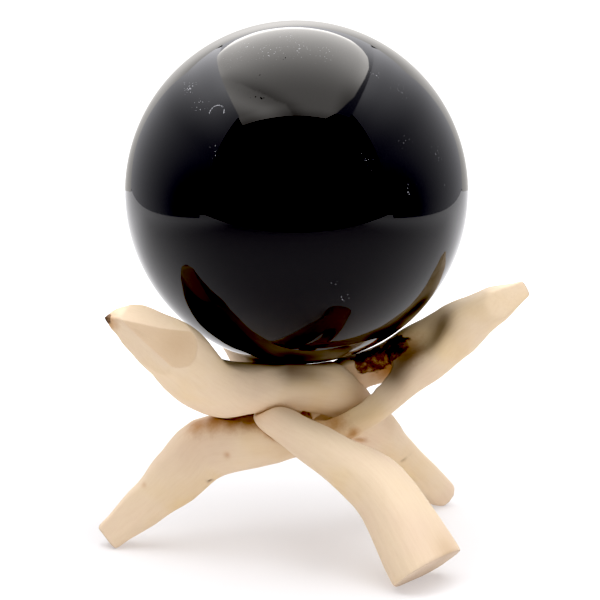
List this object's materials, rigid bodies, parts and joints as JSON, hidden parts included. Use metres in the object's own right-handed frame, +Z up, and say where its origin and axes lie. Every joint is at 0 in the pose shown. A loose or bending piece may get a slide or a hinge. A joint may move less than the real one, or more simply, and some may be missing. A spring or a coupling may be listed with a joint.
{
  "type": "decorative sphere on stand",
  "caption": "Polished black stone ball resting in the arms of a tripod stand of bent, slotted wooden sticks that pass through one another.",
  "frame": {"origin": "on the table, under the middle of the whole piece's box", "axes": "+Z up; +X to the right and +Y away from someone facing the long front foot"},
  "size_m": [0.1276, 0.1166, 0.1535],
  "materials": {
    "black_stone": "polished",
    "pale_wood": "raw, hand-whittled"
  },
  "bodies": {
    "root": {"stone_ball": "black_stone", "left_arm_stick": "pale_wood", "right_arm_stick": "pale_wood", "rear_arm_stick": "pale_wood"}
  },
  "joints": []
}
